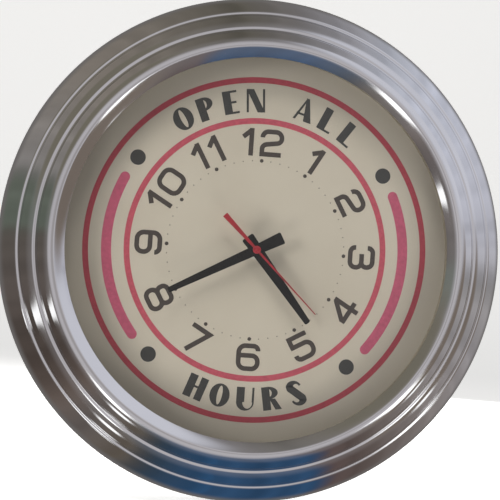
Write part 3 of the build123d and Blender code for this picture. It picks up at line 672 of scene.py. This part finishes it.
def ribbon(points, width, closed=False):
    """A strip of even width along a line, mitred at its corners."""
    count = len(points)
    left, right = [], []
    for k, point in enumerate(points):
        before = points[k - 1] if closed or k else None
        after = points[(k + 1) % count] if closed or k < count - 1 else None
        here = Vector(point)
        one = (here - Vector(before)).normalized() if before else None
        two = (Vector(after) - here).normalized() if after else None
        one, two = one or two, two or one
        normal = Vector((-(one.y + two.y), one.x + two.x)).normalized()
        reach = width / 2 / max(MITRE_LIMIT, normal.dot(Vector((-one.y, one.x))))
        left.append(tuple(here + normal * reach))
        right.append(tuple(here - normal * reach))
    return left, right, closed


# Half the width and height of a figure, between the middles of its strokes, and half its full
# height.
W, H = 7.2, 8.5
CAP = H + NUMERAL_STROKE / 2

# Each figure as lines of (points, corner radii, closed), in mm about its own middle.
FIGURES = {
    "0": [([(-W, -H), (W, -H), (W, H), (-W, H)], [5.2] * 4, True)],
    "1": [([(1.6, -CAP), (1.6, CAP)], [0, 0], False), ([(1.4, CAP - 1.5), (-4.6, 3.4)], [0, 0], False)],
    "2": [
        (
            [(-W, 4.0), (-W, H), (W, H), (W, 0.6), (-W, -1.6), (-W, -H), (W, -H)],
            [0, 4.4, 4.4, 3.6, 3.6, 0, 0],
            False,
        )
    ],
    "3": [
        ([(-W, 4.4), (-W, H), (W, H), (W, 0.2), (-2.6, 0.2)], [0, 3.6, 4.0, 3.6, 0], False),
        (
            [(-2.6, 0.2), (W + 0.4, 0.2), (W + 0.4, -H), (-W, -H), (-W, -4.4)],
            [0, 4.0, 4.2, 3.6, 0],
            False,
        ),
    ],
    "4": [
        ([(3.4, -CAP), (3.4, CAP)], [0, 0], False),
        ([(2.6, CAP - 1.6), (-W - 0.6, -3.6)], [0, 0], False),
        ([(-W - 1.6, -4.4), (W + 1.6, -4.4)], [0, 0], False),
    ],
    "5": [
        ([(W - 0.4, H), (-W, H), (-W, 1.5)], [0, 0, 0], False),
        ([(-W - 1.6, 1.9), (W, 1.9), (W, -H), (-W, -H), (-W, -4.6)], [0, 4.6, 4.6, 3.4, 0], False),
    ],
    "6": [
        (
            [(W, 4.9), (W, H), (-W, H), (-W, -H), (W, -H), (W, 1.3), (1.65 - W, 1.3)],
            [0, 3.5, 5.0, 5.0, 4.6, 4.4, 0],
            False,
        )
    ],
    "7": [([(-W - 0.6, H), (W, H), (-2.6, -CAP)], [0, 0, 0], False)],
    "8": [
        ([(-W + 0.9, 0.5), (W - 0.9, 0.5), (W - 0.9, H), (-W + 0.9, H)], [3.5] * 4, True),
        ([(-W, -H), (W, -H), (W, 0.5), (-W, 0.5)], [4.2] * 4, True),
    ],
}
FIGURES["9"] = [([(-x, -z) for x, z in points], radii, closed) for points, radii, closed in FIGURES["6"]]

FIGURE_WIDTHS = {"1": 11.0}
FIGURE_WIDTH = 18.0
FIGURE_GAP = 2.6
UPRIGHT_HOURS = (9, 10, 11, 12, 1, 2, 3)  # their tops point outwards


def placed(strips, angle, radius, tops_outward, shift=0.0):
    """Carries flat shapes from their own middle to a place on the dial."""
    turn = angle if tops_outward else angle + 180
    centre = polar(radius, angle)
    moved = []
    for side, other, closed in strips:
        shifted = [[(x + shift, z) for x, z in points] for points in (side, other)]
        moved.append((turned(shifted[0], turn, centre), turned(shifted[1], turn, centre), closed))
    return moved


def figure_strips(figure):
    return [
        ribbon(filleted(points, radii, closed), NUMERAL_STROKE, closed)
        for points, radii, closed in FIGURES[figure]
    ]


def numeral_strips():
    """The hours, each figure beside the next and turned to face its place."""
    strips = []
    for hour in range(1, 13):
        text = str(hour)
        widths = [FIGURE_WIDTHS.get(figure, FIGURE_WIDTH) for figure in text]
        left = -(sum(widths) + FIGURE_GAP * (len(text) - 1)) / 2
        for figure, width in zip(text, widths):
            middle = left + width / 2
            left += width + FIGURE_GAP
            shapes, outward = figure_strips(figure), hour in UPRIGHT_HOURS
            strips += placed(shapes, hour * 30, NUMERAL_RADIUS, outward, middle)
    return strips


# Letters in the manner of the 1920s: a thick stem beside hairlines. T is half a letter's height.
T = 8.7
HAIR = 1.6
STEM = 6.0
# The S: where its upper bow starts, the degrees from one point to the next, how many points, the
# bow's middle, half width and half height, and how much the stroke thickens between the bows.
S_FROM, S_TURN, S_POINTS = 80.05, 8.25, 20
S_MIDDLE, S_WIDE, S_HIGH = 4.2, 4.1, 3.9
S_THICKENING = 2.0


def bar(x_low, x_high, z_low, z_high):
    """An upright or level stroke."""
    return [(x_low, z_low), (x_high, z_low)], [(x_low, z_high), (x_high, z_high)], False


def slant(low_left, low_right, high_left, high_right, z_low=-T, z_high=T):
    """A leaning stroke, from the two sides of its foot to the two sides of its head."""
    return [(low_left, z_low), (low_right, z_low)], [(high_left, z_high), (high_right, z_high)], False


def oval(centre, across, high, start, end, count=28):
    points = []
    for k in range(count + 1):
        angle = math.radians(start + (end - start) * k / count)
        points.append((centre[0] + across * math.sin(angle), centre[1] + high * math.cos(angle)))
    return points


def bowl(centre, outer, inner, start, end):
    """A stroke between two ovals, thick where they part and a hairline where they meet."""
    return oval(centre, *outer, start, end), oval(centre, *inner, start, end), False


def s_strip():
    """A ribbon along two opposite bows, thick through its middle."""
    upper = []
    for k in range(S_POINTS):
        x, z = polar(1.0, S_FROM - S_TURN * k)
        upper.append((S_WIDE * x, S_MIDDLE + S_HIGH * z))
    line = upper + [(-x, -z) for x, z in reversed(upper)]
    left, right = [], []
    for k, point in enumerate(line):
        before, after = Vector(line[max(k - 1, 0)]), Vector(line[min(k + 1, len(line) - 1)])
        along = (after - before).normalized()
        share = k / (len(line) - 1)
        reach = HAIR / 2 + S_THICKENING * math.sin(math.pi * share) ** 3
        left.append((point[0] - along.y * reach, point[1] + along.x * reach))
        right.append((point[0] + along.y * reach, point[1] - along.x * reach))
    return left, right, False


LETTERS = {
    "O": [bowl((0, 0), (7.5, T), (1.9, T - HAIR), 0, 360)],
    "P": [
        bar(-6.4, -6.4 + STEM, -T, T),
        bowl((-1.7, 3.6), (7.4, T - 3.6), (2.9, T - 3.6 - HAIR), 0, 180),
    ],
    "E": [
        bar(-5.6, -5.6 + STEM, -T, T),
        bar(-1.0, 5.4, T - HAIR, T),
        bar(-1.0, 4.2, -0.9, -0.9 + HAIR),
        bar(-1.0, 5.4, -T, -T + HAIR),
    ],
    "N": [
        bar(-6.9, -6.9 + HAIR, -T, T),
        slant(1.4, 6.9, -6.9, -1.4),
        bar(6.9 - HAIR, 6.9, -T, T),
    ],
    "A": [
        slant(-6.9, -6.9 + HAIR + 0.3, -0.9, 0.5),
        slant(1.3, 7.4, -1.4, 1.0),
        bar(-5.4, 2.8, -4.6, -4.6 + HAIR),
    ],
    "L": [bar(-5.2, -5.2 + STEM, -T, T), bar(-0.6, 5.6, -T, -T + HAIR)],
    "H": [
        bar(-6.6, -6.6 + STEM, -T, T),
        bar(-2.0, 2.2, -0.4, -0.4 + HAIR),
        bar(2.2, 2.2 + STEM - 0.4, -T, T),
    ],
    "U": [
        bar(-6.6, -6.6 + STEM, -2.4, T),
        bar(6.6 - HAIR, 6.6, -2.4, T),
        (
            oval((0, -2.4), 6.6, T - 2.4, 270, 90),
            oval((1.8, -2.4), 3.7, T - 2.4 - HAIR, 270, 90),
            False,
        ),
    ],
    "R": [
        bar(-6.6, -6.6 + STEM, -T, T),
        bowl((-1.9, 4.0), (7.4, T - 4.0), (2.9, T - 4.0 - HAIR), 0, 180),
        slant(2.6, 7.4, -1.2, 3.0, -T, -0.5),
    ],
    "S": [s_strip()],
}
TOP_WORDS = "OPEN ALL"
TOP_FROM, TOP_TO = -33.0, 35.0
BOTTOM_WORD = "HOURS"
BOTTOM_SPREAD = 20.0


def lettering_strips():
    """The words on the band: tops outwards above the middle, and inwards below it."""
    strips = []
    for k, letter in enumerate(TOP_WORDS):
        if letter != " ":
            angle = TOP_FROM + (TOP_TO - TOP_FROM) * k / (len(TOP_WORDS) - 1)
            strips += placed(LETTERS[letter], angle, BAND_RADIUS, True)
    for k, letter in enumerate(BOTTOM_WORD):
        angle = 180 + BOTTOM_SPREAD - 2 * BOTTOM_SPREAD * k / (len(BOTTOM_WORD) - 1)
        strips += placed(LETTERS[letter], angle, BAND_RADIUS, False)
    return strips


def print_dial():
    crimson = ink_finish("ink_crimson", (0.62, 0.105, 0.155))
    dark_crimson = ink_finish("ink_dark_crimson", (0.45, 0.05, 0.078))
    rose = ink_finish("ink_rose", (0.62, 0.12, 0.215))
    brown = ink_finish("ink_brown_black", (0.072, 0.057, 0.051))
    slate = ink_finish("ink_slate", (0.052, 0.050, 0.048))
    printed("print_inner_ring", strip_mesh, [ring_strip(INNER_RING, RING_WIDTH)], crimson)
    printed("print_outer_ring", strip_mesh, [ring_strip(OUTER_RING, RING_WIDTH)], dark_crimson)
    printed("print_side_arcs", strip_mesh, [side_arc(1), side_arc(-1)], rose)
    dots = [circle(BIG_DOT, polar(BAND_RADIUS, side * a)) for side in (-1, 1) for a in BIG_DOT_ANGLES]
    printed("print_big_dots", flat_mesh, dots, slate)
    hour_dots = [circle(HOUR_DOT, polar(TRACK_RADIUS, 30 * k), HOUR_DOT_SIDES) for k in range(12)]
    printed("print_hour_dots", flat_mesh, hour_dots, brown)
    minutes = [k for k in range(60) if k % 5]
    fine = [circle(MINUTE_DOT, polar(TRACK_RADIUS, 6 * k), MINUTE_DOT_SIDES) for k in minutes]
    faded = ink_finish("ink_faded", (0.25, 0.215, 0.18))
    printed("print_minute_dots", flat_mesh, fine, faded)
    printed("print_numerals", strip_mesh, numeral_strips(), brown)
    printed("print_lettering", strip_mesh, lettering_strips(), slate)


# ---- floor, light and camera ---------------------------------------------------------------------

# The camera: metres from the ring's widest plane, degrees to the left, below and of roll, the
# width of the view at that plane in metres, and the shift as shares of that width.
VIEW_DISTANCE = 1.5
VIEW_LEFT = 6.8
VIEW_BELOW = 1.2
VIEW_ROLL = 4.0
FRAME_SPAN = 0.3786
SHIFT_X, SHIFT_Y = -0.0023, 0.0006
SENSOR = 36.0
CLIP_END = 50.0


def make_camera():
    data = bpy.data.cameras.new("camera")
    camera = bpy.data.objects.new("camera", data)
    bpy.context.scene.collection.objects.link(camera)
    widest = Vector((0, -WIDEST_DEPTH * MM, 0))
    left, below = math.radians(VIEW_LEFT), math.radians(VIEW_BELOW)
    level = math.cos(below)
    away = Vector((-math.sin(left) * level, -math.cos(left) * level, -math.sin(below)))
    camera.location = widest + away * VIEW_DISTANCE
    facing = (-away).to_track_quat("-Z", "Y").to_matrix().to_4x4()
    roll = Matrix.Rotation(math.radians(VIEW_ROLL), 4, "Z")
    camera.matrix_world = Matrix.Translation(camera.location) @ facing @ roll
    data.sensor_width = SENSOR
    data.lens = SENSOR * VIEW_DISTANCE / FRAME_SPAN
    data.shift_x, data.shift_y = SHIFT_X, SHIFT_Y
    data.clip_end = CLIP_END
    bpy.context.scene.camera = camera


FLOOR_REACH = 3.0
FLOOR_BEND, BEND_STEPS = 1.2, 24
BACKDROP_HEIGHT = 4.0
FLOOR_GLOW = 0.62


def make_floor():
    """A pale studio sweep that curves up far behind, and stays out of the chrome."""
    low = cad_bounds[0][2]
    line = [(-FLOOR_REACH, low)]
    for k in range(BEND_STEPS + 1):
        out, up = polar(FLOOR_BEND, 180 - 90 * k / BEND_STEPS)
        line.append((FLOOR_REACH + out, low + FLOOR_BEND + up))
    line.append((FLOOR_REACH + FLOOR_BEND, low + BACKDROP_HEIGHT))
    made = bmesh.new()
    rows = [[made.verts.new((x, y, z)) for y, z in line] for x in (-2 * FLOOR_REACH, 2 * FLOOR_REACH)]
    for k in range(len(line) - 1):
        made.faces.new((rows[0][k], rows[1][k], rows[1][k + 1], rows[0][k + 1]))
    mesh = bpy.data.meshes.new("floor")
    made.to_mesh(mesh)
    made.free()
    smooth(mesh)
    finish = Finish("floor_pale", (0.88, 0.88, 0.875), roughness=0.7)
    finish.bump(finish.noise(60.0, 4.0), 0.0002, 0.2)
    finish.shader.inputs["Emission Color"].default_value = (1, 1, 0.99, 1)
    finish.shader.inputs["Emission Strength"].default_value = FLOOR_GLOW
    floor = new_object("floor", mesh, None, finish.material)
    floor.visible_glossy = False
    floor.visible_diffuse = False
    floor.visible_shadow = False


def soft_box(name, place, size, power, colour):
    """A square lamp aimed at the clock, left out of the chrome."""
    data = bpy.data.lights.new(name, "AREA")
    data.energy, data.size, data.color = power, size, colour
    lamp = bpy.data.objects.new(name, data)
    lamp.location = place
    lamp.rotation_euler = (-place).to_track_quat("-Z", "Y").to_euler()
    lamp.visible_glossy = False
    bpy.context.scene.collection.objects.link(lamp)


# The studio round the clock, by direction clockwise from straight up: what the polished ring
# mirrors sideways.
STUDIO_TONES = [
    (0, (0.118, 0.108, 0.088)),
    (12, (0.175, 0.162, 0.157)),
    (28, (0.335, 0.33, 0.355)),
    (36, (0.485, 0.50, 0.56)),
    (50, (0.60, 0.62, 0.71)),
    (82, (0.52, 0.52, 0.58)),
    (94, (0.33, 0.315, 0.315)),
    (108, (0.345, 0.325, 0.33)),
    (122, (0.26, 0.23, 0.22)),
    (138, (0.13, 0.105, 0.095)),
    (149, (0.12, 0.085, 0.078)),
    (154, (0.03, 0.075, 0.155)),
    (180, (0.028, 0.085, 0.185)),
    (196, (0.035, 0.055, 0.080)),
    (204, (0.12, 0.10, 0.08)),
    (216, (0.145, 0.125, 0.115)),
    (226, (0.135, 0.105, 0.09)),
    (236, (0.08, 0.062, 0.053)),
    (244, (0.075, 0.06, 0.052)),
    (256, (0.126, 0.105, 0.094)),
    (271, (0.108, 0.095, 0.083)),
    (274, (0.122, 0.140, 0.115)),
    (285, (0.127, 0.142, 0.117)),
    (290, (0.25, 0.235, 0.225)),
    (318, (0.25, 0.22, 0.19)),
    (345, (0.168, 0.150, 0.127)),
]
# Broad panels ahead of the clock, seen in the bevel: direction, degrees off the front, half
# width in degrees, colour. The edge and core are where a panel ends and is full, as shares of its
# half width.
STUDIO_PANELS = [
    (49, 50, 22, (0.645, 0.65, 0.715)),
    (110, 50, 20, (0.20, 0.165, 0.14)),
    (314, 50, 22, (0.185, 0.17, 0.135)),
]
PANEL_EDGE, PANEL_CORE = 1.3, 0.7
# Strip lamps seen in the ring: direction, from and to in degrees off the front, half width in
# degrees, brightness. Each is a row of overlapping spots, a step of degrees apart.
STUDIO_LAMPS = [
    (122, 25, 38, 2.6, 1.9),
    (122, 66, 74, 2.6, 1.3),
    (211, 25, 34, 3.2, 2.0),
    (211, 66, 74, 3.2, 1.4),
    (248, 40, 80, 2.2, 1.4),
]
LAMP_EDGE, LAMP_CORE = 1.6, 0.5
LAMP_STEP = 4
# Fine streaks by direction, and the shades that they bring.
STREAK_SCALE, STREAK_DETAIL = 9.0, 4.0
STREAK_SHADES = (0.84, 1.16)
# Zones ahead of the clock and the wall behind it: where each begins and is full, from -1 straight
# ahead to 1 straight behind, its share there, and its colour.
ZONES = [
    ((-0.2, -0.8), 0.15, (0.52, 0.50, 0.52)),
    ((-0.83, -0.955), 1.0, (0.52, 0.50, 0.52)),
    ((-0.978, -0.996), 1.0, (0.38, 0.36, 0.365)),
    ((0.55, 0.95), 1.0, (0.16, 0.15, 0.145)),
]
AMBIENT_TONE = (0.07, 0.069, 0.068)
BACKDROP_TONE = (0.94, 0.94, 0.935)


def make_world():
    """What surrounds the clock, painted by direction for the chrome and the glass to mirror."""
    world = bpy.data.worlds.new("studio")
    bpy.context.scene.world = world
    world.use_nodes = True
    tree = world.node_tree
    nodes, links = tree.nodes, tree.links
    place = nodes.new("ShaderNodeTexCoord").outputs["Generated"]
    split = nodes.new("ShaderNodeSeparateXYZ")
    links.new(place, split.inputs[0])

    def blend(amount, below, colour):
        mix = nodes.new("ShaderNodeMix")
        mix.data_type = "RGBA"
        links.new(amount, mix.inputs[0])
        links.new(below, mix.inputs[6])
        mix.inputs[7].default_value = (*colour, 1)
        return mix.outputs[2]

    def patch(direction, off_front, edge, core):
        """1 inside the core and 0 beyond the edge, both in degrees from the aim."""
        across, up = polar(math.sin(math.radians(off_front)), direction)
        aim = nodes.new("ShaderNodeVectorMath")
        aim.operation = "DOT_PRODUCT"
        aim.inputs[1].default_value = (across, -math.cos(math.radians(off_front)), up)
        links.new(place, aim.inputs[0])
        limits = tuple(math.cos(math.radians(degrees)) for degrees in (edge, core))
        return ranged(tree, aim.outputs["Value"], limits, kind="SMOOTHSTEP")

    angle = nodes.new("ShaderNodeMath")
    angle.operation = "ARCTAN2"
    links.new(split.outputs["X"], angle.inputs[0])
    links.new(split.outputs["Z"], angle.inputs[1])
    tones = nodes.new("ShaderNodeValToRGB")
    stops = sorted(((degrees / 360 + 0.5) % 1, colour) for degrees, colour in STUDIO_TONES)
    elements = tones.color_ramp.elements
    for _ in stops[2:]:
        elements.new(0.5)
    for element, (position, colour) in zip(elements, stops):
        element.position = position
        element.color = (*colour, 1)
    links.new(ranged(tree, angle.outputs[0], (-math.pi, math.pi)), tones.inputs["Fac"])

    streaks = line_noise(tree, angle.outputs[0], STREAK_SCALE, STREAK_DETAIL)
    light = multiplied(tree, tones.outputs["Color"], ranged(tree, streaks, NOISE_SPAN, STREAK_SHADES))
    for limits, share, colour in ZONES:
        amount = ranged(tree, split.outputs["Y"], limits, (0.0, share), "SMOOTHSTEP")
        light = blend(amount, light, colour)
    for direction, off_front, half, colour in STUDIO_PANELS:
        light = blend(patch(direction, off_front, half * PANEL_EDGE, half * PANEL_CORE), light, colour)
    for direction, start, end, half, brightness in STUDIO_LAMPS:
        for off_front in range(start, end + 1, LAMP_STEP):
            amount = patch(direction, off_front, half * LAMP_EDGE, half * LAMP_CORE)
            light = blend(amount, light, (brightness,) * 3)
    path = nodes.new("ShaderNodeLightPath").outputs
    light = blend(path["Is Diffuse Ray"], light, AMBIENT_TONE)
    light = blend(path["Is Camera Ray"], light, BACKDROP_TONE)
    links.new(light, nodes["Background"].inputs["Color"])


# Soft boxes: direction clockwise from up, degrees off the front, size in metres, power, colour.
SOFT_BOXES = {
    "left_box": (276, 70, 0.7, 26.0, (1.0, 0.965, 0.92)),
    "low_left_box": (222, 70, 0.7, 15.5, (1.0, 0.965, 0.92)),
    "low_right_box": (150, 70, 0.7, 23.0, (1.0, 0.965, 0.92)),
    "top_box": (352, 70, 0.7, 23.5, (1.0, 0.965, 0.92)),
    "right_box": (80, 60, 0.8, 3.2, (1.0, 0.98, 0.95)),
    "rear_box": (60, 140, 1.2, 34.0, (1.0, 1.0, 1.0)),
}
BOX_DISTANCE = 1.7


def light_studio():
    make_world()
    for name, (direction, off_front, size, power, colour) in SOFT_BOXES.items():
        across, up = polar(math.sin(math.radians(off_front)), direction)
        aim = Vector((across, -math.cos(math.radians(off_front)), up))
        soft_box(name, aim * BOX_DISTANCE, size, power, colour)
    view = bpy.context.scene.view_settings
    view.view_transform = "Standard"
    view.look = "None"


finish_nodes()
make_bezel()
print_dial()
make_floor()
light_studio()
make_camera()
